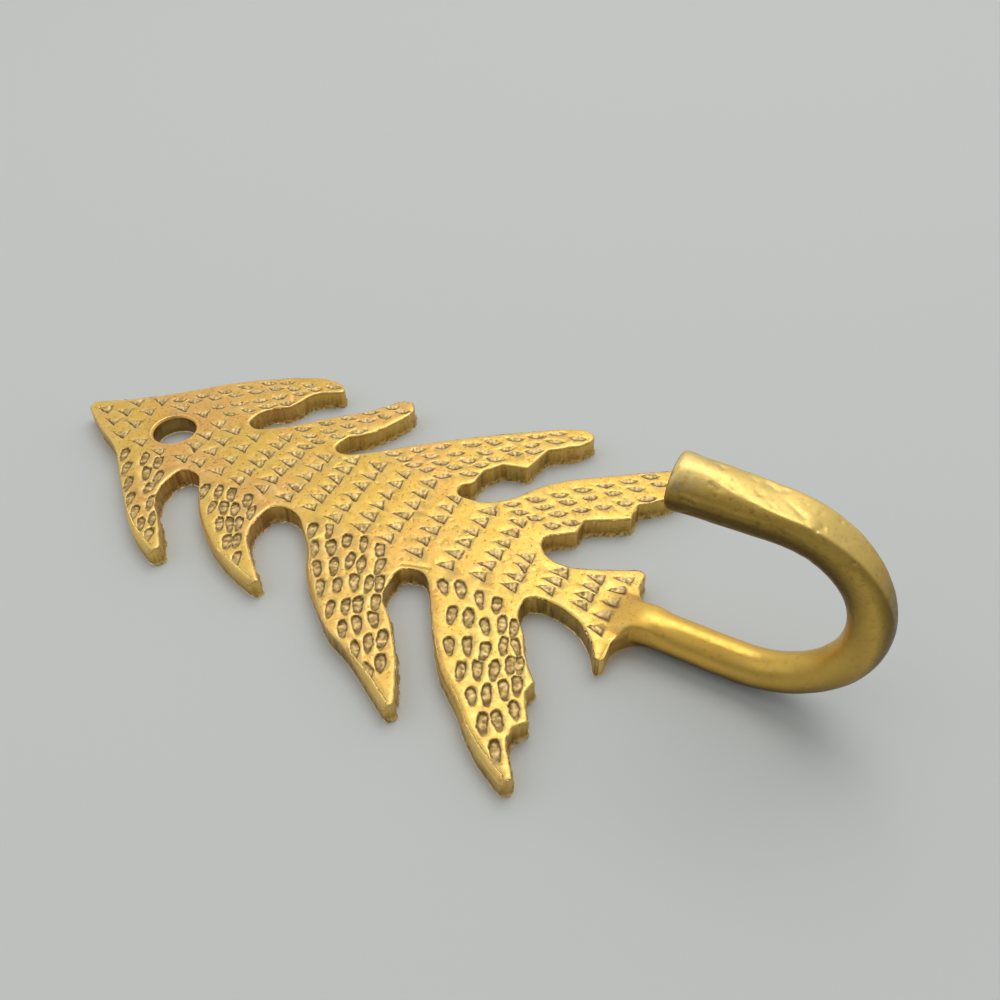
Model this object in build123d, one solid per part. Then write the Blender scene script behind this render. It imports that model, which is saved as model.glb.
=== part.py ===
from build123d import *
import os
from math import radians, tan

# Cast brass wall hook in the shape of a pine tree: a flat tree-shaped plate, punched all over with
# rows of needle marks, whose trunk runs on as a round bar, curls forward and up, and ends in a
# square-cut arm. It is one casting.
# Frame: Z up as it hangs, X to the right seen from the front, the back face on Y = 0 with the
# front towards -Y, and the origin at the middle of the screw hole. Millimetres.

# Tree plate, its height taken from the apex to the right point of the skirt
TREE_HEIGHT = 93.0
PLATE_THICKNESS = 3.2

# Screw hole
HOLE_DIAMETER = 6.4
HOLE_RIM_CHAMFER = 0.4

# Hook bar, round in section and swelling towards the end of the arm
BAR_WALL_GAP = 0.2
SHANK_DIAMETER = 5.2
ARM_START_DIAMETER = 6.2
ARM_END_DIAMETER = 6.8
ARM_END_BEVEL = 0.4
BEND_RADIUS = 12.6
SHANK_LENGTH = 14.7
ARM_LENGTH = 11.3

# Swelling by which the bar rises out of the front of the trunk, above and below the collar
NOSE_UPPER_LENGTH = 3.0
NOSE_LOWER_LENGTH = 6.4
NOSE_COVER_DEPTH = 0.25
NOSE_STEPS = 3

# Flat that is dressed on the outer side of the arm and fades out round the bend
FLAT_DEPTH = 0.7
FLAT_CLEARANCE = 0.1
FLAT_TILT = 6.0

# Needle marks: a leaf-shaped pit with sloping sides, struck at one slant on each part of the tree
MARK_DEPTH = 0.7
STAMP_HEIGHT = 0.2
TRUNK_MARK = {"length": 2.9, "width": 1.9, "slant": 90}
SKIRT_MARK = {"length": 2.7, "width": 1.3, "slant": 90}
LEFT_MARK = {"length": 2.7, "width": 1.5, "slant": 215}
RIGHT_MARK = {"length": 2.3, "width": 1.5, "slant": -35}

# Outline of a leaf as shares of its length and width, its point first and its deepest spot at 0, 0
LEAF = [(0.52, 0.0), (0.05, 0.5), (-0.48, 0.4), (-0.42, -0.46), (0.05, -0.46)]

# Outline of the tree, as corners that are rounded afterwards. Each branch has its upper edge
# from the notch above, its tip, its underside and the notch below. Its rows of needle marks are
# given by the middles of the first and the last mark and the number of marks.
APEX = [(-0.3, 16.5), (-1.9, 16.5)]

LEFT_BRANCHES = [
    {
        "upper": [(-5.2, 10.6), (-7.4, 5.2), (-12.6, -0.8), (-19.6, -9.4)],
        "tip": [(-21.6, -14.6), (-20.4, -16.2)],
        "under": [(-16.1, -11.8), (-13.5, -8.4), (-9.7, -6.9)],
        "notch": [(-6.2, -7.4), (-6.2, -10.4)],
        "marks": [
            {"first": (-8.1, 2.6), "last": (-15.0, -5.2), "count": 4},
            {"first": (-16.8, -7.8), "last": (-19.4, -12.8), "count": 3},
            {"first": (-7.4, -0.8), "last": (-16.4, -11.0), "count": 5},
            {"first": (-7.1, -3.2), "last": (-9.7, -5.5), "count": 2},
        ],
    },
    {
        "upper": [(-12.6, -15.6), (-16.5, -21.2), (-18.4, -25.8)],
        "tip": [(-19.6, -30.6), (-18.6, -31.9)],
        "under": [(-15.2, -27.5), (-12.8, -24.9), (-10.3, -24.0)],
        "notch": [(-6.0, -24.2), (-5.8, -28.2)],
        "marks": [
            {"first": (-8.7, -13.6), "last": (-17.2, -26.6), "count": 5},
            {"first": (-7.9, -15.6), "last": (-14.4, -24.2), "count": 4},
            {"first": (-7.4, -17.7), "last": (-11.6, -22.4), "count": 3},
            {"first": (-7.4, -20.6), "last": (-9.0, -22.4), "count": 2},
        ],
    },
    {
        "upper": [(-10.5, -33.4), (-14.8, -36.0), (-21.2, -44.2), (-22.4, -47.9)],
        "tip": [(-27.6, -57.1), (-26.6, -58.1)],
        "under": [(-21.0, -55.0), (-15.3, -50.1), (-13.2, -47.3)],
        "notch": [(-8.0, -46.8), (-7.0, -49.8), (-8.2, -51.4)],
        "marks": [
            {"first": (-7.8, -32.2), "last": (-15.9, -39.7), "count": 4},
            {"first": (-18.2, -42.9), "last": (-24.2, -52.7), "count": 4},
            {"first": (-6.7, -34.4), "last": (-14.5, -41.3), "count": 4},
            {"first": (-16.9, -44.5), "last": (-22.4, -53.3), "count": 4},
            {"first": (-7.2, -37.7), "last": (-15.9, -45.7), "count": 4},
            {"first": (-17.1, -48.8), "last": (-19.3, -51.5), "count": 2},
            {"first": (-6.7, -40.2), "last": (-9.9, -42.0), "count": 2},
            {"first": (-12.4, -44.9), "last": (-14.5, -47.5), "count": 2},
            {"first": (-6.5, -42.8), "last": (-11.6, -46.0), "count": 3},
        ],
    },
    {
        "upper": [(-15.7, -56.6), (-19.8, -59.8), (-22.4, -63.6), (-27.0, -68.4)],
        "tip": [(-29.7, -73.8), (-28.6, -75.0)],
        "under": [(-24.4, -71.9), (-22.8, -71.8), (-21.3, -73.1), (-17.8, -70.9), (-15.9, -71.2)],
        "notch": [(-13.6, -68.8), (-9.6, -66.4), (-7.6, -64.4), (-4.2, -64.2), (-3.8, -68.2)],
        "marks": [
            {"first": (-8.3, -53.9), "last": (-11.7, -57.2), "count": 2},
            {"first": (-16.2, -59.4), "last": (-26.5, -71.5), "count": 5},
            {"first": (-7.5, -56.0), "last": (-11.1, -59.3), "count": 2},
            {"first": (-15.1, -61.4), "last": (-22.8, -69.8), "count": 4},
            {"first": (-7.9, -59.1), "last": (-11.4, -61.8), "count": 2},
            {"first": (-14.8, -63.6), "last": (-20.6, -70.8), "count": 4},
            {"first": (-7.7, -61.5), "last": (-10.2, -63.5), "count": 2},
            {"first": (-13.0, -65.3), "last": (-17.4, -69.5), "count": 3},
            {"first": (-10.0, -65.1), "last": (-14.7, -68.4), "count": 3},
        ],
    },
]

RIGHT_BRANCHES = [
    {
        "upper": [(3.0, 11.3), (7.4, 6.2), (14.5, -0.6), (19.6, -7.7)],
        "tip": [(22.2, -12.9), (22.1, -16.4), (20.4, -18.5)],
        "under": [(17.5, -13.6), (13.4, -13.2), (11.2, -10.2), (8.9, -9.1)],
        "notch": [(6.9, -9.1), (6.0, -11.2)],
        "marks": [
            {"first": (6.3, 4.5), "last": (16.5, -5.4), "count": 5},
            {"first": (18.1, -8.1), "last": (20.6, -15.6), "count": 3},
            {"first": (7.1, 2.2), "last": (15.9, -7.4), "count": 5},
            {"first": (17.3, -10.1), "last": (18.7, -13.2), "count": 2},
            {"first": (7.7, -2.3), "last": (16.7, -11.8), "count": 5},
            {"first": (7.2, -5.0), "last": (13.7, -11.4), "count": 4},
        ],
    },
    {
        "upper": [(9.6, -15.8), (13.4, -19.2), (18.4, -24.6)],
        "tip": [(22.6, -27.2), (23.6, -29.2), (21.4, -31.0)],
        "under": [(17.6, -29.8), (13.4, -27.8), (10.9, -25.0)],
        "notch": [(8.0, -24.6), (7.6, -27.0)],
        "marks": [
            {"first": (9.6, -17.6), "last": (20.7, -27.0), "count": 5},
            {"first": (8.8, -19.7), "last": (20.6, -29.0), "count": 6},
            {"first": (8.2, -21.5), "last": (13.1, -25.6), "count": 3},
        ],
    },
    {
        "upper": [(10.8, -31.2), (15.2, -35.8), (22.2, -44.4), (29.0, -54.2)],
        "tip": [(30.2, -57.8), (28.4, -59.2)],
        "under": [(25.9, -57.8), (22.6, -53.9), (17.6, -53.0), (16.6, -49.3), (13.9, -47.5)],
        "notch": [(11.0, -47.6), (9.8, -45.8), (8.0, -46.6), (8.3, -50.6)],
        "marks": [
            {"first": (11.3, -33.4), "last": (16.1, -39.2), "count": 3},
            {"first": (18.6, -42.8), "last": (27.1, -53.3), "count": 5},
            {"first": (11.0, -35.5), "last": (15.7, -41.8), "count": 3},
            {"first": (18.0, -45.5), "last": (27.5, -56.4), "count": 5},
            {"first": (10.5, -37.5), "last": (17.4, -47.6), "count": 4},
            {"first": (19.9, -49.6), "last": (21.7, -52.0), "count": 2},
            {"first": (10.5, -39.7), "last": (15.2, -46.3), "count": 3},
            {"first": (10.4, -42.5), "last": (12.7, -45.8), "count": 2},
        ],
    },
    {
        "upper": [(10.6, -53.6), (16.6, -57.2), (21.6, -63.6)],
        "tip": [(29.6, -75.2), (28.0, -76.6)],
        "under": [(21.6, -74.2), (18.0, -70.5), (14.9, -70.8), (11.5, -65.0), (8.9, -65.0)],
        "notch": [(6.1, -61.2), (3.4, -62.6), (2.6, -66.2)],
        "marks": [
            {"first": (9.9, -54.4), "last": (24.6, -69.6), "count": 7},
            {"first": (9.0, -56.1), "last": (23.7, -71.4), "count": 7},
            {"first": (9.1, -58.6), "last": (19.9, -71.0), "count": 6},
            {"first": (8.8, -61.4), "last": (10.4, -63.4), "count": 2},
        ],
    },
]

# Torn undersides, whose corners stay sharp
TORN = LEFT_BRANCHES[-1]["under"] + RIGHT_BRANCHES[-2]["under"] + RIGHT_BRANCHES[-1]["under"]

# Rows of needle marks down the trunk
TRUNK_ROWS = [
    {"first": (-1.3, 13.4), "last": (-1.3, 13.4), "count": 1},
    {"first": (-2.9, 10.2), "last": (2.3, 10.2), "count": 3},
    {"first": (-4.7, 6.6), "last": (4.4, 6.9), "count": 4},
    {"first": (-4.9, 2.7), "last": (4.8, 2.9), "count": 2},
    {"first": (-5.2, -1.4), "last": (5.1, -1.2), "count": 2},
    {"first": (-4.6, -5.5), "last": (4.2, -5.2), "count": 4},
    {"first": (-4.3, -8.6), "last": (4.0, -8.4), "count": 4},
    {"first": (-4.4, -12.4), "last": (4.2, -12.2), "count": 4},
    {"first": (-4.6, -16.4), "last": (6.6, -16.6), "count": 6},
    {"first": (-4.3, -20.6), "last": (6.3, -20.6), "count": 6},
    {"first": (-4.2, -24.9), "last": (5.6, -24.7), "count": 5},
    {"first": (-4.2, -29.3), "last": (6.8, -28.8), "count": 6},
    {"first": (-4.4, -33.6), "last": (7.8, -33.0), "count": 6},
    {"first": (-4.1, -37.9), "last": (8.0, -37.3), "count": 6},
    {"first": (-4.2, -42.3), "last": (8.0, -41.6), "count": 6},
    {"first": (-4.6, -47.2), "last": (7.0, -46.6), "count": 6},
    {"first": (-4.7, -52.2), "last": (7.0, -52.2), "count": 6},
    {"first": (-4.3, -57.1), "last": (7.0, -56.9), "count": 6},
    {"first": (-4.0, -61.5), "last": (1.7, -61.0), "count": 4},
]

# Rows of closer needle marks over the skirt
SKIRT_ROWS = [
    {"first": (-2.2, -66.0), "last": (1.3, -66.2), "count": 3},
    {"first": (-2.4, -70.9), "last": (2.5, -70.9), "count": 4},
    {"first": (-5.0, -74.3), "last": (3.9, -74.2), "count": 5},
]

# Pointed skirt at the foot of the trunk: the inner corners and the point on either side
LEFT_SKIRT = [(-5.2, -72.4), (-7.8, -74.9), (-9.8, -75.9), (-9.3, -77.1)]
RIGHT_SKIRT = [(4.2, -70.2), (6.8, -75.3), (6.4, -76.5)]

# Web that fades out under the bar: the hollow corners of the collar either side of its end
WEB = [(-3.7, -76.6), (-1.4, -84.6), (0.9, -76.6)]

# Ways that the bar runs
DOWN = (0, 0, -1)
FORWARD = (0, -1, 0)
UP = (0, 0, 1)

# Share of a run that the rounding of a corner may take
CORNER_SHARE = 0.45

tree_scale = TREE_HEIGHT / (APEX[0][1] - RIGHT_SKIRT[-1][1])
collar_z = WEB[0][1] * tree_scale
bar_x = WEB[1][0] * tree_scale
bar_radius = SHANK_DIAMETER / 2
bar_y = -BAR_WALL_GAP - bar_radius
bend_y = bar_y - BEND_RADIUS
bend_z = collar_z - SHANK_LENGTH
arm_y = bend_y - BEND_RADIUS


def scaled(points):
    """Points of the tree at its real height."""
    return [(x * tree_scale, z * tree_scale) for x, z in points]


def corner_radii(points, sharp):
    """Largest rounding that each corner of a closed outline has room for, and none for sharp ones."""
    radii = []
    for before, corner, after in zip(points[-1:] + points[:-1], points, points[1:] + points[:1]):
        run_in = Vector(*corner) - Vector(*before)
        run_out = Vector(*after) - Vector(*corner)
        turn = run_in.get_angle(run_out)
        share = 0 if corner in sharp else CORNER_SHARE
        radii.append(share * min(run_in.length, run_out.length) / tan(radians(turn / 2)))
    return radii


def side_points(branches, skirt):
    """Corners of one side of the tree, from the apex down to the point of the skirt."""
    points = []
    for branch in branches:
        points += branch["upper"] + branch["tip"] + branch["under"] + branch["notch"]
    return scaled(points + skirt)


def tree_outline():
    """Closed outline of the tree, with the web that runs out under the bar."""
    left = side_points(LEFT_BRANCHES, LEFT_SKIRT)
    right = side_points(RIGHT_BRANCHES, RIGHT_SKIRT)
    apex = scaled(APEX)
    points = apex[1:] + left + scaled(WEB) + right[::-1] + apex[:1]
    sharp = scaled(TORN + WEB[1:2])
    return FilletPolyline(points, radius=corner_radii(points, sharp), close=True)


def tree_plate():
    """Flat tree with the screw hole, whose rim is broken at the front."""
    plate = extrude(Plane.XZ * make_face(tree_outline()), PLATE_THICKNESS)
    plate -= Plane.XZ * Cylinder(HOLE_DIAMETER / 2, 4 * PLATE_THICKNESS)
    rims = plate.edges().filter_by(lambda edge: edge.is_closed)
    return chamfer(rims.sort_by(Axis.Y)[0], HOLE_RIM_CHAMFER)


def bar_section(y, z, direction, radius):
    """Round section of the bar, square to its run."""
    return Plane(origin=(bar_x, y, z), x_dir=(1, 0, 0), z_dir=direction) * Circle(radius)


def dressed_side():
    """What the flat leaves: an off-centre disc round the bend with a leaning slab up the arm."""
    reach = BEND_RADIUS + bar_radius + FLAT_CLEARANCE
    tall = 4 * BEND_RADIUS
    disc = Circle(reach)
    slab = Rot(Z=FLAT_TILT) * Pos(tall / 2 - reach, tall / 2) * Rectangle(tall, tall)
    side = Plane(origin=(bar_x, bend_y + FLAT_DEPTH, bend_z), x_dir=(0, 1, 0), z_dir=(1, 0, 0))
    return side * extrude(disc + slab, ARM_END_DIAMETER, both=True)


def nose():
    """Swelling that starts inside the plate and runs smoothly into the bar."""
    tip_radius = (PLATE_THICKNESS - BAR_WALL_GAP - NOSE_COVER_DEPTH) / 2
    sections = []
    for step in range(NOSE_STEPS + 1):
        share = step / NOSE_STEPS
        radius = tip_radius + share**2 * (3 - 2 * share) * (bar_radius - tip_radius)
        z = collar_z + NOSE_UPPER_LENGTH - share * (NOSE_UPPER_LENGTH + NOSE_LOWER_LENGTH)
        sections.append(bar_section(-BAR_WALL_GAP - radius, z, DOWN, radius))
    return loft(sections)


def hook_bar():
    """Bar that swells out of the trunk, runs down, curls forward and up, and ends square."""
    shank_end = bar_section(bar_y, bend_z, DOWN, bar_radius)
    shank = extrude(shank_end, NOSE_LOWER_LENGTH - SHANK_LENGTH)
    foot = bar_section(bend_y, bend_z - BEND_RADIUS, FORWARD, bar_radius)
    arm_start = bar_section(arm_y, bend_z, UP, ARM_START_DIAMETER / 2)
    curl = ThreePointArc(
        (bar_x, bar_y, bend_z), (bar_x, bend_y, bend_z - BEND_RADIUS), (bar_x, arm_y, bend_z)
    )
    bend = sweep([shank_end, foot, arm_start], path=curl, multisection=True)
    arm = Pos(bar_x, arm_y, bend_z + ARM_LENGTH / 2) * Cone(
        ARM_START_DIAMETER / 2, ARM_END_DIAMETER / 2, ARM_LENGTH
    )
    arm = chamfer(arm.edges().sort_by(Axis.Z)[-1], ARM_END_BEVEL)
    return nose() + shank + (bend + arm & dressed_side())


def mark_stamp(mark):
    """Stamp for one needle mark: a leaf-based pyramid whose base stands out of the front."""
    spread = 1 + STAMP_HEIGHT / MARK_DEPTH
    base = [
        (u * spread * mark["length"], -PLATE_THICKNESS - STAMP_HEIGHT, v * spread * mark["width"])
        for u, v in LEAF
    ]
    return Rot(Y=-mark["slant"]) * ConvexPolyhedron(base + [(0, MARK_DEPTH - PLATE_THICKNESS, 0)])


def stamped_rows(rows, mark):
    """Stamps at even steps from the first to the last mark of each row."""
    stamp = mark_stamp(mark)
    stamps = []
    for row in rows:
        start = Vector(row["first"][0], 0, row["first"][1])
        end = Vector(row["last"][0], 0, row["last"][1])
        step = (end - start) / max(row["count"] - 1, 1)
        stamps += [Pos((start + step * number) * tree_scale) * stamp for number in range(row["count"])]
    return stamps


def needle_marks():
    """Stamps for all the needle marks of the trunk, the skirt and the branches."""
    stamps = stamped_rows(TRUNK_ROWS, TRUNK_MARK) + stamped_rows(SKIRT_ROWS, SKIRT_MARK)
    for branch in LEFT_BRANCHES:
        stamps += stamped_rows(branch["marks"], LEFT_MARK)
    for branch in RIGHT_BRANCHES:
        stamps += stamped_rows(branch["marks"], RIGHT_MARK)
    return stamps


hook = tree_plate() + hook_bar()
hook = hook - needle_marks()
os.makedirs("parts", exist_ok=True)
export_step(hook, "parts/tree_hook.step")
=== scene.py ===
import bmesh
import bpy
import numpy as np
from mathutils import Matrix, Vector, kdtree


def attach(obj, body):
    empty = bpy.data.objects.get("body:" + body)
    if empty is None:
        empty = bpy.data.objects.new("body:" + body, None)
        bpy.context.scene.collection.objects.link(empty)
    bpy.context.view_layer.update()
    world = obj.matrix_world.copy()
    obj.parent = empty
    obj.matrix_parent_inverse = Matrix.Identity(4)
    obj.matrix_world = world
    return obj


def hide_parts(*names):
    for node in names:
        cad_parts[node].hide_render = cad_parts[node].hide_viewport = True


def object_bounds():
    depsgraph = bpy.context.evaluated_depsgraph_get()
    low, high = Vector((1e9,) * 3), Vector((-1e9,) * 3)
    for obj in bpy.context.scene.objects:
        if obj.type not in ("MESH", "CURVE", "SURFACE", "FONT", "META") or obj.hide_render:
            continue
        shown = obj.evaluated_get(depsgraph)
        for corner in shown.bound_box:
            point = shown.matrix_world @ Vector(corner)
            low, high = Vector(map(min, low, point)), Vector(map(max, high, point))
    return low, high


# Looks of the brass tree hook. The casting is rebuilt from the CAD solid as one fine skin, struck,
# filed and worn as the real one is, and dressed in one brass that varies with place.
# Metres, in the frame of the part: Z up as it hangs, the front towards -Y, the back on Y = 0.

MM = 0.001

# Plate, hole and bar, as the part has them
PLATE_FRONT = 3.2 * MM
HOLE_RADIUS = 3.2 * MM
HOLE_LIP = 0.5 * MM
COLLAR_Z = -76.6 * MM
BEND_Y = -15.4 * MM
BEND_Z = -91.3 * MM
BAR_X = -1.4 * MM
ARM_Y = -28.0 * MM
ARM_START_RADIUS = 3.1 * MM
ARM_END_RADIUS = 3.4 * MM
ARM_END_Z = -80.0 * MM

# Needle marks: depth of the part's pits, and way that their points look, on trunk, left and right.
# The kind of a mark is its row in MARK_POINTS.
MARK_DEPTH = 0.7 * MM
MARK_POINTS = np.array([(0.0, 1.0), (-0.819, -0.574), (0.819, -0.574)])
LEFT = 1
PIT_SLACK = 0.02 * MM

# Struck form of the marks, in X and Z along and over the punch: a wedge, a shield and a bowl
PUNCH_ALONG = np.array((0.476, -0.880))
PUNCH_OVER = np.array((0.880, 0.476))
WEDGE = np.array([(-1.6, 0.5), (1.3, 0.95), (0.75, -1.25)]) * MM
SHIELD_LENGTH = 1.72 * MM
SHIELD_WIDTH = 0.68 * MM
BOWL_LENGTH = 1.5 * MM
BOWL_WIDTH = 0.8 * MM
PIT_DEPTHS = np.array((0.38, 0.23, 0.27)) * MM
RIB_PITCH = 0.57 * MM
BAND_PITCH = 1.25 * MM

# Scratch beside the lowest left notch, from and to, and stained spots of the edge, in X and Z
SCRATCH = np.array([(-7.5, -46.8), (-6.3, -50.6)]) * MM
STAINS = np.array([(-10.5, -54.5), (-15.0, -58.0), (7.5, -1.0)]) * MM
STAIN_RADIUS = 5.0 * MM

# Tips of the left branches, in X and Z, whose upper edges are rubbed rounder
WORN_TIPS = np.array([(-21.0, -15.4), (-19.1, -31.2), (-27.1, -57.6), (-29.1, -74.4)]) * MM
WORN_TIP_RADIUS = 1.0 * MM

# Fuller neck, where the skirt runs into the bar
NECK_Z = -77.2 * MM
NECK_REACH = 2.4 * MM
NECK_FILL = 0.95 * MM
NECK_WIDTH = 3.2 * MM
NECK_RISE = 2.1 * MM
NECK_SIDE = 2.3 * MM
NECK_FADE = (3.6 * MM, 6 * MM)

# Way that the side walls with the heaviest painted shade face, in X and Z, and the heights between
# which that painted shade starts
SHADED_WAY = np.array((-0.75, 0.65))
SHADED_FROM = (30 * MM, 50 * MM)

# Crest that a plain round bar has all over, which is no sign of rubbing
BAR_CROWN = 0.35

# Skin
VOXEL = 0.13 * MM
WELD = 0.002 * MM
EDGE_RADIUS = 0.5 * MM
FRONT_SLACK = 0.1 * MM
BAR_SOFTENING = 25
HOLLOW_STEPS = 6
HOLLOW_SCALE = 0.03 * MM
SKIN_TRIANGLES = 192000

# Heights between which the bar's bronze gives way to gold, and the plate's blush fades in
BRONZE_FADE = (-96 * MM, -87 * MM)
BLUSH_FADE = (-60 * MM, -25 * MM)

# Table: half its side, its level, and the reach within which it is clear to what touches it
TABLE_REACH = 1.5
TABLE_LEVEL = 0.02 * MM
CONTACT_REACH = 0.3 * MM

# Point that the lamps look at, and strength of the world on its near and its far side
LAMP_TARGET = Vector((0, 0, -0.045))
WORLD_STRENGTHS = (0.28, 0.80)
WORLD_EDGE = 0.7

# Camera, solved from the photograph
CAMERA_PLACE = Vector((-76.2, -96.95, -99.93)) * MM
CAMERA_RIGHT = Vector((0.4757, 0.0088, -0.8796))
CAMERA_UP = Vector((0.6110, -0.7229, 0.3231))
CAMERA_LENS = 34.13
CAMERA_SENSOR = 36.0
CAMERA_CLIP = 0.005

# Factors that hash a cell of the noise grid and its seed
CELL_FACTORS = (73856093, 19349663, 83492791)
SEED_FACTOR = 40503
STIR_FACTOR = 1274126177

# Turn of the noise grid, so that its cells lie across the faces of the part
NOISE_TURN = np.array(Matrix.Rotation(0.7, 3, Vector((0.4, 0.7, 0.6))))

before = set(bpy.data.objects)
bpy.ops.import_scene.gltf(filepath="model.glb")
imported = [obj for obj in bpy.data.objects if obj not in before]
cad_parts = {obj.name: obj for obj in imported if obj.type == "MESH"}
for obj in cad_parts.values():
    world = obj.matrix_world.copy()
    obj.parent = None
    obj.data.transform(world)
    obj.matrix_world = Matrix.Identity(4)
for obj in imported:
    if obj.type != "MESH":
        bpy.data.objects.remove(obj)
cad_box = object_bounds()
scene = bpy.context.scene


def grid_noise(points, size, seed):
    """Smooth random values from -1 to 1, hashed from the cells of a cubic grid."""
    grid = points @ NOISE_TURN / size
    base = np.floor(grid).astype(np.int64)
    part = grid - base
    part = part * part * (3 - 2 * part)
    total = np.zeros(len(points))
    for corner in np.ndindex(2, 2, 2):
        cell = base + np.array(corner)
        across, along, up = (cell * CELL_FACTORS).T
        key = across ^ along ^ up ^ seed * SEED_FACTOR
        key = (key ^ key >> 13) * STIR_FACTOR
        value = (key ^ key >> 16 & 0xFFFF) % 65536 / 32767.5 - 1
        total += value * np.prod(np.where(corner, part, 1 - part), axis=1)
    return total


def smoothstep(low, high, values):
    """0 below low, 1 above high and a smooth ramp between them."""
    share = np.clip((values - low) / (high - low), 0, 1)
    return share * share * (3 - 2 * share)


def round_off(distance, radius):
    """How far a rounded edge lies below a sharp one, at a distance from it along either face."""
    inset = np.clip(radius - distance, 0, radius)
    return radius - np.sqrt(radius ** 2 - inset ** 2)


def vertex_array(mesh, field):
    """One vector field of a mesh's vertices as an array."""
    values = np.empty(len(mesh.vertices) * 3)
    mesh.vertices.foreach_get(field, values)
    return values.reshape(-1, 3)


def welded_copy(source, name):
    """Copy of a CAD node as a new piece, with its faces joined along their edges."""
    mesh = source.data.copy()
    mesh.name = name
    mesh.materials.clear()
    work = bmesh.new()
    work.from_mesh(mesh)
    bmesh.ops.remove_doubles(work, verts=work.verts, dist=WELD)
    work.to_mesh(mesh)
    work.free()
    piece = bpy.data.objects.new(name, mesh)
    scene.collection.objects.link(piece)
    return piece


def apply_modifiers(piece):
    """Replaces a piece's mesh by what its modifiers make of it."""
    bpy.context.view_layer.update()
    graph = bpy.context.evaluated_depsgraph_get()
    shaped = bpy.data.meshes.new_from_object(piece.evaluated_get(graph))
    piece.modifiers.clear()
    piece.data = shaped
    return shaped


def struck_marks(mesh):
    """Middle and kind of each needle mark, read from the deepest vertex of its pit."""
    deepest = MARK_DEPTH - PLATE_FRONT
    rays = {}
    for edge in mesh.edges:
        one, other = edge.vertices
        for start, end in ((one, other), (other, one)):
            place = mesh.vertices[start].co
            if abs(place.y - deepest) < PIT_SLACK and place.z > COLLAR_Z:
                ray = mesh.vertices[end].co - place
                rays.setdefault(start, []).append((ray.x, ray.z))
    middles = []
    kinds = []
    for index, ends in rays.items():
        place = mesh.vertices[index].co
        ways = np.array(ends) / np.linalg.norm(ends, axis=1)[:, None]
        middles.append((place.x, place.z))
        kinds.append(np.argmax((MARK_POINTS @ ways.T).max(axis=1)))
    return np.array(middles), np.array(kinds)


class Skin:
    """Vertices of the casting's fine skin, with the fields that its shaping and its brass use."""

    def __init__(self, mesh):
        self.mesh = mesh
        self.places = vertex_array(mesh, "co")
        self.normals = vertex_array(mesh, "normal")
        self.start = self.places.copy()
        self.height = -self.start[:, 1]
        self.spots = self.start[:, [0, 2]]
        self.plate = self.start[:, 2] > COLLAR_Z
        self.from_hole = np.linalg.norm(self.spots, axis=1)
        clear_of_hole = self.from_hole > HOLE_RADIUS + HOLE_LIP
        upright = np.abs(self.normals[:, 1]) < 0.5
        self.wall = self.plate & upright & clear_of_hole & (self.height < PLATE_FRONT + FRONT_SLACK)
        self.gap, self.facing = self.outline_field()
        self.wall &= self.gap < EDGE_RADIUS
        above_pits = self.height > PLATE_FRONT - MARK_DEPTH - FRONT_SLACK
        on_top = above_pits & (self.height < PLATE_FRONT + FRONT_SLACK)
        self.front = self.plate & on_top & clear_of_hole & ~self.wall & (self.normals[:, 1] < 0.1)
        self.bar = smoothstep(0, 3 * MM, COLLAR_Z - self.start[:, 2])
        self.arm = self.bar * smoothstep(2 * MM, 14 * MM, BEND_Y - self.start[:, 1])
        self.back = self.plate & (self.normals[:, 1] > 0.5) & (self.height < 0.3 * MM)
        self.hole = self.plate & upright & (self.from_hole < HOLE_RADIUS + 0.2 * MM)
        self.pit, self.rim, self.pit_highlight = np.zeros((3, len(self.places)))
        self.fringe, self.edge, self.bevel = np.zeros((3, len(self.places)))

    def outline_field(self):
        """Distance in X and Z from each vertex to the side walls, and the way that they face there."""
        ring = np.flatnonzero(self.wall & (np.abs(self.height - PLATE_FRONT / 2) < 0.2 * MM))
        tree = kdtree.KDTree(len(ring))
        for number, index in enumerate(ring):
            tree.insert((self.spots[index, 0], self.spots[index, 1], 0), number)
        tree.balance()
        nearest = [tree.find((x, z, 0)) for x, z in self.spots]
        gap = np.array([found[2] for found in nearest])
        chosen = ring[[found[1] for found in nearest]]
        facing = self.normals[chosen][:, [0, 2]]
        return gap, facing / np.linalg.norm(facing, axis=1)[:, None]

    def lower(self, depth):
        """Presses vertices back from the front."""
        self.places[:, 1] += depth

    def spread(self, outward):
        """Moves vertices square to the outline beside them."""
        self.places[:, 0] += self.facing[:, 0] * outward
        self.places[:, 2] += self.facing[:, 1] * outward


def wedge(along, over):
    """Depth inside the three sides of a trunk mark, and how much painted shade lies along the nearest
    one.
    """
    sides = []
    for start, end in zip(WEDGE, np.roll(WEDGE, -1, axis=0)):
        run = (end - start) / np.linalg.norm(end - start)
        sides.append((over - start[1]) * -run[0] + (along - start[0]) * run[1])
    grime = np.array((0.1, 0.65, 1.0))[np.argmin(sides, axis=0)]
    return np.min(sides, axis=0), grime


def shield(along, over):
    """Depth inside a left mark, flat at its upper end and drawn in at its lower one, and the painted
    shade along its edge, heaviest at the upper end.
    """
    share = over / SHIELD_LENGTH
    width = SHIELD_WIDTH * (1 + 0.25 * share)
    inside = SHIELD_WIDTH * (1 - (np.abs(share) ** 2.6 + np.abs(along / width) ** 2.6) ** (1 / 2.6))
    return inside, 0.6 + 0.4 * smoothstep(0.0, 0.8, share)


def bowl(along, over):
    """Depth inside a right mark, a lens with its belly low, and the painted shade along the belly."""
    belly = np.clip(1 - (along / BOWL_LENGTH) ** 2, -1, 1)
    low = BOWL_WIDTH * belly + over
    high = 0.5 * BOWL_WIDTH * belly - over
    return np.minimum(low, high), np.where(low < high, 0.9, 0.15)


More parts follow.
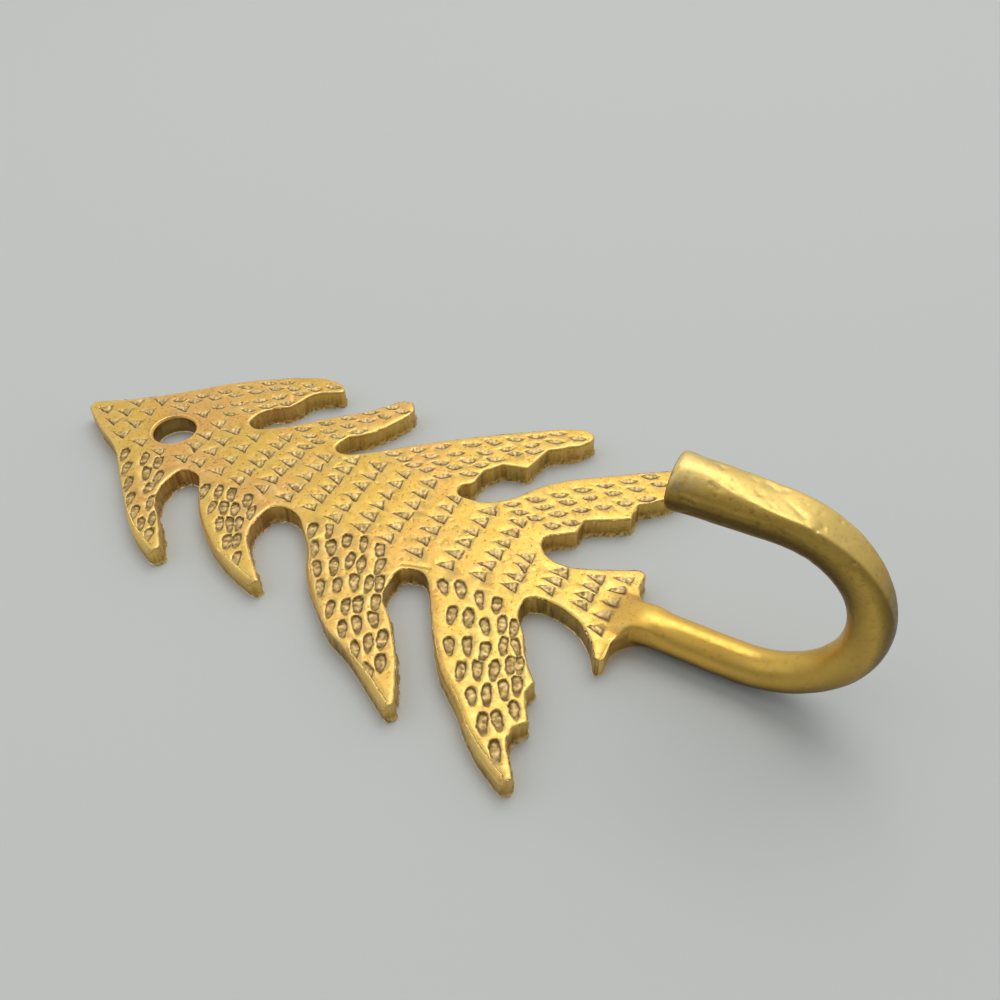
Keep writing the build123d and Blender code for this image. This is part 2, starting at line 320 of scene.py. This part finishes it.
def strike_marks(skin, middles, kinds):
    """Strikes each needle mark with its own form, floor, ribs and grit, and ragged outline, with
    painted shade along its edge and a painted highlight on its floor.
    """
    front = np.flatnonzero(skin.front)
    places = skin.start[front]
    tree = kdtree.KDTree(len(middles))
    for number, (x, z) in enumerate(middles):
        tree.insert((x, z, 0), number)
    tree.balance()
    nearest = np.array([tree.find((x, z, 0))[1] for x, z in skin.spots[front]])
    kind = kinds[nearest]
    chance = [grid_noise(middles[:, [0, 1, 1]], 0.9 * MM, seed)[nearest] for seed in (20, 21, 22, 23)]
    offset = skin.spots[front] - middles[nearest]
    for axis, seed in ((0, 24), (1, 26)):
        offset[:, axis] += 0.10 * MM * grid_noise(places, 0.5 * MM, seed)
        offset[:, axis] += 0.16 * MM * grid_noise(places, 1.7 * MM, seed + 1)
    turn = 0.28 * chance[0]
    first = offset @ PUNCH_ALONG / (1 + 0.16 * chance[1])
    second = offset @ PUNCH_OVER / (1 + 0.16 * chance[2])
    along = first * np.cos(turn) - second * np.sin(turn)
    over = first * np.sin(turn) + second * np.cos(turn)

    forms = [form(along, over) for form in (wedge, shield, bowl)]
    inside = np.choose(kind, [form[0] for form in forms])
    grime = np.choose(kind, [form[1] for form in forms])
    wedge_fall = (0.95 * MM - over) / (1.9 * MM)
    shield_fall = 0.85 + 0.2 * over / SHIELD_LENGTH
    bowl_fall = (0.5 * MM - over) / (1.2 * MM)
    falls = [wedge_fall, shield_fall, bowl_fall]
    fall = np.clip(np.choose(kind, falls), 0.04, 1.1)
    inner = smoothstep(0.1 * MM, 0.4 * MM, skin.gap[front])
    pit = smoothstep(-0.04 * MM, 0.18 * MM, inside) * inner
    ribs = np.cos(2 * np.pi * along / RIB_PITCH + 2 * grid_noise(places, 0.9 * MM, 30))
    sway = 1.5 * grid_noise(places, 0.7 * MM, 31)
    bands = np.cos(2 * np.pi * over / BAND_PITCH + 3 * chance[3] + sway)
    relief = np.where(kind == LEFT, 0.03 * bands, 0.018 * ribs)
    grit = 0.07 * grid_noise(places, 0.38 * MM, 28) + 0.05 * grid_noise(places, 0.7 * MM, 29)
    sunk = pit * (PIT_DEPTHS[kind] * (1 + 0.2 * chance[1]) * fall - (grit + relief) * MM)
    skin.places[front, 1] = np.maximum(sunk, 0) - PLATE_FRONT

    skin.pit[front] = pit
    # Painted shade: a dark line just inside the edge of each mark, heaviest on the side turned from the
    # light.
    shield_lip = smoothstep(0, 0.6, -over / SHIELD_LENGTH)
    lip = np.where(kind == LEFT, shield_lip, smoothstep(0.25, 0.7, fall))
    from_line = (inside / MM - 0.08 - 0.2 * lip) / (0.14 + 0.06 * lip)
    skin.rim[front] = np.exp(-from_line ** 2) * inner * grime
    # Painted highlight on each mark's floor: on trunk and right marks brightest where the floor runs
    # shallow, on left marks in bands, with ribs and grit in it.
    shine = np.where(kind == LEFT, 0.45 + 0.2 * bands, 1.05 - 0.65 * fall + 0.12 * ribs)
    skin.pit_highlight[front] = np.clip(shine + 5 * grit, 0, 1) * pit


def cast_faces(skin):
    """Gentle unevenness of the cast front and back, a scratch, and the rounded front edge."""
    start = skin.start
    waves = 0.04 * grid_noise(start, 9 * MM, 31) + 0.008 * grid_noise(start, 1.8 * MM, 32)
    skin.lower(np.where(skin.front, 0.05 + waves, 0) * MM)
    rough = 0.03 * grid_noise(start, 5 * MM, 33) + 0.02 * grid_noise(start, 1.1 * MM, 34)
    skin.lower(-np.where(skin.back, 0.05 + rough, 0) * MM * smoothstep(0, 1.5 * MM, skin.gap))
    run = SCRATCH[1] - SCRATCH[0]
    share = np.clip((skin.spots - SCRATCH[0]) @ run / (run @ run), 0, 1)
    aside = np.linalg.norm(skin.spots - SCRATCH[0] - share[:, None] * run, axis=1)
    skin.lower(np.where(skin.front, 0.14 * MM * (1 - smoothstep(0.06 * MM, 0.24 * MM, aside)), 0))
    nicks = np.clip(grid_noise(start, 0.45 * MM, 35) - 0.66, 0, 1) * (1 - skin.pit)
    skin.lower(np.where(skin.front, 0.25 * nicks, 0) * MM)
    away = np.min([np.linalg.norm(skin.spots - spot, axis=1) for spot in STAINS], axis=0)
    stained = 1 - smoothstep(0.4 * STAIN_RADIUS, STAIN_RADIUS, away)
    patchy = np.maximum(0.6 * smoothstep(0.1, 0.6, grid_noise(start, 11 * MM, 36)), stained)
    skin.edge = np.where(skin.front, 1 - smoothstep(0.6 * MM, 2.2 * MM, skin.gap), 0) * patchy
    from_tip = np.min([np.linalg.norm(skin.spots - tip, axis=1) for tip in WORN_TIPS], axis=0)
    worn = (1 - smoothstep(4 * MM, 14 * MM, from_tip)) * smoothstep(0.1, 0.8, skin.facing @ SHADED_WAY)
    upper = smoothstep(1.2 * MM, 2.2 * MM, skin.height)
    skin.bevel = worn * upper * (1 - smoothstep(0.7 * MM, 1.5 * MM, skin.gap))
    radius = EDGE_RADIUS + WORN_TIP_RADIUS * worn
    skin.lower(np.where(skin.front, round_off(skin.gap, radius), 0))
    skin.spread(-np.where(skin.wall, round_off(PLATE_FRONT - skin.height, radius), 0))


def file_walls(skin):
    """Filed side walls, eaten edges and the ragged flash along the undersides of the branches."""
    start = skin.start
    on_plate = skin.plate & (skin.height < PLATE_FRONT + FRONT_SLACK)
    beside = np.where(on_plate, 1 - smoothstep(0, 0.9 * MM, skin.gap), 0)
    level = start * (1, 0, 1)
    cuts = 0.045 * grid_noise(level, 0.38 * MM, 41) + 0.03 * grid_noise(level, 0.9 * MM, 42)
    skin.spread(np.where(skin.wall, cuts * MM - 0.05 * MM, 0))
    bites = np.clip(grid_noise(start * (1, 0.4, 1), 1.3 * MM, 43), 0, 1)
    under = smoothstep(0.0, 0.5, -skin.facing[:, 1])
    skin.spread(-beside * bites * (0.06 + 0.14 * under) * MM)
    low = 1 - smoothstep(0.25 * MM, 0.95 * MM, skin.height)
    teeth = 0.35 + 0.45 * grid_noise(level, 0.75 * MM, 44) + 0.35 * grid_noise(start, 0.35 * MM, 45)
    skin.fringe = under * low * beside * np.clip(teeth, 0, 1)
    skin.spread(skin.fringe * 0.5 * MM)


def fill_neck(skin, mean):
    """Widens the neck under the skirt and lets the front rise from the skirt onto the bar."""
    aside = skin.start[:, 0] - BAR_X
    drop = skin.start[:, 2] - NECK_Z
    beside = 1 - smoothstep(*NECK_FADE, np.abs(aside))
    outward = np.clip(aside / NECK_SIDE, -1, 1)
    widened = NECK_FILL * np.exp(-(drop / NECK_REACH) ** 2) * beside * outward
    skin.places[:, 0] += widened
    across = (aside + widened) / NECK_WIDTH
    climb = smoothstep(-4.2 * MM, 2.8 * MM, -drop) * np.sqrt(np.clip(1 - across ** 2, 0, 1))
    level = np.where(skin.front, PLATE_FRONT, skin.height)
    facing_front = smoothstep(0.0, 0.5, -skin.normals[:, 1])
    near = smoothstep(-6 * MM, -3 * MM, drop) * (1 - smoothstep(4 * MM, 5 * MM, drop))
    skin.lower(-np.clip(PLATE_FRONT + NECK_RISE * climb - level, 0, None) * facing_front * near)
    joint = (1 - smoothstep(2.5 * MM, 5 * MM, np.hypot(aside, drop)))[:, None]
    for _ in range(BAR_SOFTENING):
        skin.places += 0.5 * joint * (mean(skin.places) - skin.places)


def neighbour_mean(mesh):
    """Function that gives the mean of a field over each vertex's neighbours."""
    ends = np.empty(len(mesh.edges) * 2, dtype=np.int64)
    mesh.edges.foreach_get("vertices", ends)
    one, other = ends.reshape(-1, 2).T
    count = np.bincount(ends, minlength=len(mesh.vertices))

    def mean(field):
        columns = []
        for values in field.T:
            forward = np.bincount(one, values[other], len(count))
            backward = np.bincount(other, values[one], len(count))
            columns.append((forward + backward) / count)
        return np.column_stack(columns)
    return mean


def wear_bar(skin, mean):
    """Rounds the arm towards its end, softens the bar's edges, and dents and pits it."""
    start = skin.start
    rise = np.clip((start[:, 2] - BEND_Z) / (ARM_END_Z - BEND_Z), 0, 1)
    spoke = (start - (BAR_X, ARM_Y, 0)) * (1, 1, 0)
    reach = np.linalg.norm(spoke, axis=1)
    full = ARM_START_RADIUS + (ARM_END_RADIUS - ARM_START_RADIUS) * rise
    side = (start[:, 1] < ARM_Y) & (np.abs(skin.normals[:, 2]) < 0.5)
    below_end = 1 - smoothstep(ARM_END_Z - 1.0 * MM, ARM_END_Z - 0.4 * MM, start[:, 2])
    missing = np.where(side, np.clip(full - reach, 0, 0.6 * MM), 0)
    lack = missing * smoothstep(0.0, 0.8, rise) * below_end
    skin.places += spoke * (0.9 * lack / np.maximum(reach, VOXEL))[:, None]
    for _ in range(BAR_SOFTENING):
        skin.places += 0.5 * skin.bar[:, None] * (mean(skin.places) - skin.places)
    dents = np.clip(grid_noise(start, 0.9 * MM, 51) - 0.45, 0, 1) * (0.15 + 0.85 * skin.arm)
    pores = np.clip(grid_noise(start, 0.4 * MM, 52) - 0.6, 0, 1) * (0.3 + 0.7 * skin.arm)
    flats = 0.05 * grid_noise(start, 4.5 * MM, 53) + 0.03 * grid_noise(start, 1.6 * MM, 54)
    relief = flats - 0.05 - 0.2 * dents - 0.12 * pores
    skin.places += skin.normals * (skin.bar * relief * MM)[:, None]


def hollows(places, normals, mean, steps):
    """Depth of each vertex below the mean of its surroundings: over 0 in hollows, under 0 on edges."""
    around = places
    for _ in range(steps):
        around = 0.5 * around + 0.5 * mean(around)
    return ((around - places) * normals).sum(axis=1)


def move_within_box(mesh, places):
    """Moves a mesh's vertices to places that are held inside the box of the part."""
    low_corner, high_corner = (np.array(corner) for corner in cad_box)
    held = np.clip(places, low_corner, high_corner)
    mesh.vertices.foreach_set("co", held.ravel())
    mesh.update()
    return held


def paint(mesh, name, fields):
    """Stores four fields of the vertices as one colour attribute."""
    layer = mesh.color_attributes.new(name, "FLOAT_COLOR", "POINT")
    layer.data.foreach_set("color", np.column_stack(fields).astype(np.float32).ravel())


def brass_skin(source):
    """Fine skin of the casting, worn as the real one is, with the attributes that its brass reads,
    painted shade and highlight among them.
    """
    piece = welded_copy(source, "brass_tree_hook")
    middles, kinds = struck_marks(piece.data)
    remesh = piece.modifiers.new("skin", "REMESH")
    remesh.mode = "VOXEL"
    remesh.voxel_size = VOXEL
    smooth = piece.modifiers.new("soften", "SMOOTH")
    smooth.factor = 0.5
    smooth.iterations = 2
    mesh = apply_modifiers(piece)
    skin = Skin(mesh)
    strike_marks(skin, middles, kinds)
    cast_faces(skin)
    file_walls(skin)
    mean = neighbour_mean(mesh)
    fill_neck(skin, mean)
    wear_bar(skin, mean)
    places = move_within_box(mesh, skin.places)

    hollow = hollows(places, vertex_array(mesh, "normal"), mean, HOLLOW_STEPS) / HOLLOW_SCALE
    # Painted shade on the side walls: their own filed colour at a base strength, darker near the back
    # towards the table, and darker still low down on walls facing away from the light; less on the
    # rubbed tip edges.
    low_down = smoothstep(*SHADED_FROM, -skin.start[:, 2])
    shaded = smoothstep(0.2, 0.9, skin.facing @ SHADED_WAY) * low_down
    painted_foot_shade = 1 - smoothstep(0.3 * MM, 2.4 * MM, skin.height)
    filed_colour_and_shade = np.clip(0.3 + 0.35 * painted_foot_shade + 0.6 * shaded, 0, 1)
    wall = np.where(skin.wall, filed_colour_and_shade, 0) * (1 - 0.9 * skin.bevel)
    rubbed = np.maximum(skin.arm * smoothstep(0.5, 0.95, -skin.normals[:, 1]), skin.bevel)
    crest = np.clip(np.maximum(-hollow - BAR_CROWN * skin.bar, 0.8 * rubbed), 0, 1)
    paint(mesh, "wear_and_wall_shade", (skin.pit, crest, np.clip(hollow, 0, 1), wall))
    near_end = skin.arm * smoothstep(ARM_END_Z - 5 * MM, ARM_END_Z - MM, skin.start[:, 2])
    worn_end = near_end * smoothstep(0.1, 0.8, -skin.normals[:, 1])
    paint(mesh, "place", (skin.bar, skin.arm, skin.fringe, worn_end))
    # Painted shade: near-black on the bar where it faces the table, on the low side of the bend, and in
    # the hole.
    under = smoothstep(-0.2, 0.6, skin.normals[:, 1] + 0.45 * skin.arm)
    facing_down = smoothstep(0.2, 0.85, -skin.normals[:, 2])
    painted_bend_shade = 0.9 * facing_down * smoothstep(-0.8, -0.3, skin.normals[:, 1])
    under = np.maximum(skin.bar * np.maximum(under, painted_bend_shade), 0.75 * skin.hole)
    paint(mesh, "shade_highlight_and_stains", (skin.rim, skin.pit_highlight, skin.edge, under))
    thin = piece.modifiers.new("thin", "DECIMATE")
    triangles = sum(len(face.vertices) - 2 for face in mesh.polygons)
    thin.ratio = min(1.0, SKIN_TRIANGLES / triangles)
    thinned = apply_modifiers(piece)
    move_within_box(thinned, vertex_array(thinned, "co"))
    thinned.shade_smooth()
    return piece


class Nodes:
    """Short ways to add and join the nodes of one material."""

    def __init__(self, name):
        self.material = bpy.data.materials.new(name)
        self.material.use_nodes = True
        self.tree = self.material.node_tree
        self.shader = self.tree.nodes["Principled BSDF"]

    def give(self, socket, value):
        """Sets an input to a value, or joins it to an output."""
        if isinstance(value, bpy.types.NodeSocket):
            self.tree.links.new(value, socket)
        else:
            socket.default_value = value

    def add(self, kind, inputs=None, **settings):
        node = self.tree.nodes.new(kind)
        for key, value in settings.items():
            setattr(node, key, value)
        for key, value in (inputs or {}).items():
            self.give(node.inputs[key], value)
        return node

    def painted(self, name):
        """The four fields of a colour attribute."""
        layer = self.add("ShaderNodeVertexColor", layer_name=name)
        parts = self.add("ShaderNodeSeparateColor", {"Color": layer.outputs["Color"]})
        return [parts.outputs[key] for key in ("Red", "Green", "Blue")] + [layer.outputs["Alpha"]]

    def noise(self, place, size, detail=3.0, roughness=0.55):
        inputs = {"Vector": place, "Scale": 1 / size, "Detail": detail, "Roughness": roughness}
        return self.add("ShaderNodeTexNoise", inputs).outputs["Fac"]

    def ramp(self, value, low, high, start=0.0, end=1.0):
        inputs = {"Value": value, "From Min": low, "From Max": high, "To Min": start, "To Max": end}
        return self.add("ShaderNodeMapRange", inputs, interpolation_type="SMOOTHSTEP").outputs["Result"]

    def times(self, first, second):
        return self.add("ShaderNodeMath", {0: first, 1: second}, operation="MULTIPLY").outputs[0]

    def plus(self, first, second):
        inputs = {0: first, 1: second}
        return self.add("ShaderNodeMath", inputs, operation="ADD", use_clamp=True).outputs[0]

    def mix(self, share, first, second):
        node = self.add("ShaderNodeMix", {0: share, 6: first, 7: second}, data_type="RGBA")
        return node.outputs[2]


def colour(red, green, blue):
    return (red, green, blue, 1.0)


def brass():
    """Satin brass: golden where it is rubbed, rosy and speckled in patches, brown in the marks, with
    painted shade on the side walls, along the marks' edges, under the bar and in the hole, and a
    painted highlight on the marks' floors.
    """
    n = Nodes("worn_brass")
    place = n.add("ShaderNodeTexCoord").outputs["Object"]
    pit, crest, hollow, wall = n.painted("wear_and_wall_shade")
    bar, arm, fringe, worn_end = n.painted("place")
    rim, pit_highlight, edge, under = n.painted("shade_highlight_and_stains")

    height = n.add("ShaderNodeSeparateXYZ", {0: place}).outputs["Z"]
    blush = n.ramp(n.noise(place, 14 * MM, 4), 0.41, 0.60)
    blush = n.times(blush, n.ramp(height, *BLUSH_FADE, 0.35, 1.0))
    gold = n.mix(n.noise(place, 4 * MM, 4), colour(0.76, 0.445, 0.08), colour(0.90, 0.585, 0.13))
    base = n.mix(n.times(blush, 0.85), gold, colour(0.83, 0.435, 0.135))
    fine = n.noise(place, 0.55 * MM, 4, 0.7)
    speckle = n.ramp(fine, 0.57, 0.68)
    speckled = n.times(speckle, n.ramp(blush, 0.0, 1.0, 0.4, 0.8))
    base = n.mix(speckled, base, colour(0.40, 0.21, 0.045))
    rust = n.ramp(n.noise(place, 0.9 * MM, 4, 0.7), 0.40, 0.58, 0.25, 1.0)
    base = n.mix(n.times(edge, n.times(rust, 0.85)), base, colour(0.56, 0.25, 0.05))
    specks = n.ramp(n.noise(place, 0.38 * MM, 2, 0.5), 0.63, 0.70)
    base = n.mix(n.times(specks, 0.8), base, colour(0.28, 0.14, 0.03))

    stretch = {0: place, 1: (1.0, 0.12, 1.0)}
    streaks = n.add("ShaderNodeVectorMath", stretch, operation="MULTIPLY").outputs[0]
    filed = n.noise(streaks, 0.5 * MM, 4, 0.65)
    side = n.mix(n.ramp(filed, 0.35, 0.65), colour(0.17, 0.11, 0.03), colour(0.52, 0.35, 0.095))
    # Side walls take on their filed, streaked dark colour, the more so the more painted shade the wall
    # weight holds.
    base = n.mix(n.times(wall, 0.9), base, side)
    base = n.mix(n.times(fringe, 0.8), base, colour(0.82, 0.67, 0.38))

    grime = n.noise(place, 0.8 * MM, 4, 0.7)
    # Mark floors: brown, lightened by the painted highlight, with dark grime in patches.
    floor = n.mix(pit_highlight, colour(0.34, 0.21, 0.08), colour(0.88, 0.65, 0.31))
    floor = n.mix(n.ramp(grime, 0.5, 0.64, 0.0, 0.7), floor, colour(0.25, 0.15, 0.05))
    base = n.mix(n.times(pit, 0.92), base, floor)
    bronze = n.mix(n.noise(place, 6 * MM, 4), colour(0.60, 0.37, 0.07), colour(0.78, 0.53, 0.13))
    darkened = n.plus(n.ramp(height, *BRONZE_FADE, 1.0, 0.0), arm)
    base = n.mix(bar, base, n.mix(darkened, gold, bronze))
    stain = n.ramp(n.noise(place, 1.0 * MM, 6, 0.72), 0.53, 0.66)
    stained = n.times(stain, n.ramp(arm, 0.0, 1.0, 0.25, 0.65))
    base = n.mix(stained, base, colour(0.34, 0.19, 0.045))
    greyed = n.times(worn_end, n.ramp(grime, 0.42, 0.6, 0.0, 0.6))
    base = n.mix(greyed, base, colour(0.66, 0.56, 0.38))
    # Painted shade: near-black under the bar, on the low side of the bend and in the hole.
    base = n.mix(n.times(under, 0.93), base, colour(0.085, 0.05, 0.012))
    base = n.mix(n.times(hollow, 0.4), base, colour(0.14, 0.08, 0.02))
    # Painted shade: a dark line along the edge of each mark.
    base = n.mix(n.times(rim, 0.96), base, colour(0.10, 0.055, 0.013))
    base = n.mix(n.times(crest, 0.5), base, colour(0.95, 0.72, 0.28))
    n.give(n.shader.inputs["Base Color"], base)

    dull = n.plus(n.ramp(fine, 0.3, 0.7, 0.32, 0.46), n.times(pit, 0.14))
    n.give(n.shader.inputs["Roughness"], n.plus(dull, n.times(wall, 0.08)))
    n.shader.inputs["Metallic"].default_value = 1.0
    bump = n.add("ShaderNodeBump", {"Height": fine, "Strength": 0.35, "Distance": 0.03 * MM})
    n.give(n.shader.inputs["Normal"], bump.outputs["Normal"])
    return n.material


def stage_material():
    """Pale table top, clear from behind and to the hook's back on it, so that light gets there."""
    n = Nodes("pale_table")
    n.shader.inputs["Base Color"].default_value = colour(0.62, 0.63, 0.62)
    n.shader.inputs["Roughness"].default_value = 0.8
    behind = n.add("ShaderNodeNewGeometry").outputs["Backfacing"]
    reach = n.add("ShaderNodeLightPath").outputs["Ray Length"]
    lengths = {0: reach, 1: CONTACT_REACH}
    touching = n.add("ShaderNodeMath", lengths, operation="LESS_THAN").outputs[0]
    clear = n.add("ShaderNodeBsdfTransparent").outputs[0]
    parts = {0: n.plus(behind, touching), 1: n.shader.outputs[0], 2: clear}
    both = n.add("ShaderNodeMixShader", parts)
    n.give(n.tree.nodes["Material Output"].inputs["Surface"], both.outputs[0])
    return n.material


def table():
    """Plain pale plane under the back of the hook."""
    mesh = bpy.data.meshes.new("table")
    signs = ((-1, -1), (1, -1), (1, 1), (-1, 1))
    corners = [(x * TABLE_REACH, TABLE_LEVEL, z * TABLE_REACH) for x, z in signs]
    mesh.from_pydata(corners, [], [(0, 1, 2, 3)])
    mesh.materials.append(stage_material())
    top = bpy.data.objects.new("table", mesh)
    scene.collection.objects.link(top)


def lamp(name, offset, size, power):
    """Square soft light that looks at the hook from an offset."""
    light = bpy.data.lights.new(name, "AREA")
    light.size = size
    light.energy = power
    holder = bpy.data.objects.new(name, light)
    holder.location = LAMP_TARGET + offset
    holder.rotation_euler = (-offset).to_track_quat("-Z", "Y").to_euler()
    scene.collection.objects.link(holder)


def light_and_world():
    """Soft studio light from above and beyond the hook, in a world that is darker on the near side."""
    right = CAMERA_RIGHT
    up = Vector((0, -1, 0))
    far = up.cross(right)
    lamp("key", right * 0.15 + far * 0.30 + up * 0.75, size=0.6, power=2.0)
    lamp("fill", right * -0.5 + far * -0.1 + up * 0.6, size=0.8, power=0.7)
    lamp("behind", Vector((0.2, 0.6, 0.3)), size=0.8, power=2.0)
    world = bpy.data.worlds.new("studio")
    scene.world = world
    world.use_nodes = True
    tree = world.node_tree
    side = tree.nodes.new("ShaderNodeVectorMath")
    side.operation = "DOT_PRODUCT"
    side.inputs[1].default_value = far
    tree.links.new(tree.nodes.new("ShaderNodeTexCoord").outputs["Generated"], side.inputs[0])
    ramp = tree.nodes.new("ShaderNodeMapRange")
    ends = (-WORLD_EDGE, WORLD_EDGE) + WORLD_STRENGTHS
    for key, value in zip(("From Min", "From Max", "To Min", "To Max"), ends):
        ramp.inputs[key].default_value = value
    tree.links.new(side.outputs["Value"], ramp.inputs["Value"])
    tree.links.new(ramp.outputs["Result"], tree.nodes["Background"].inputs["Strength"])
    tree.nodes["Background"].inputs["Color"].default_value = colour(0.97, 1.0, 0.98)


def camera():
    """Camera at the photograph's place and angle."""
    lens = bpy.data.cameras.new("camera")
    lens.lens = CAMERA_LENS
    lens.sensor_width = CAMERA_SENSOR
    lens.clip_start = CAMERA_CLIP
    holder = bpy.data.objects.new("camera", lens)
    right = CAMERA_RIGHT.normalized()
    back = right.cross(CAMERA_UP).normalized()
    turn = Matrix((right, back.cross(right), back)).transposed()
    holder.matrix_world = Matrix.Translation(CAMERA_PLACE) @ turn.to_4x4()
    scene.collection.objects.link(holder)
    scene.camera = holder


hook = brass_skin(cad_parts["tree_hook"])
hook.data.materials.append(brass())
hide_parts("tree_hook")
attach(hook, "root")
table()
light_and_world()
camera()
scene.view_settings.view_transform = "Standard"
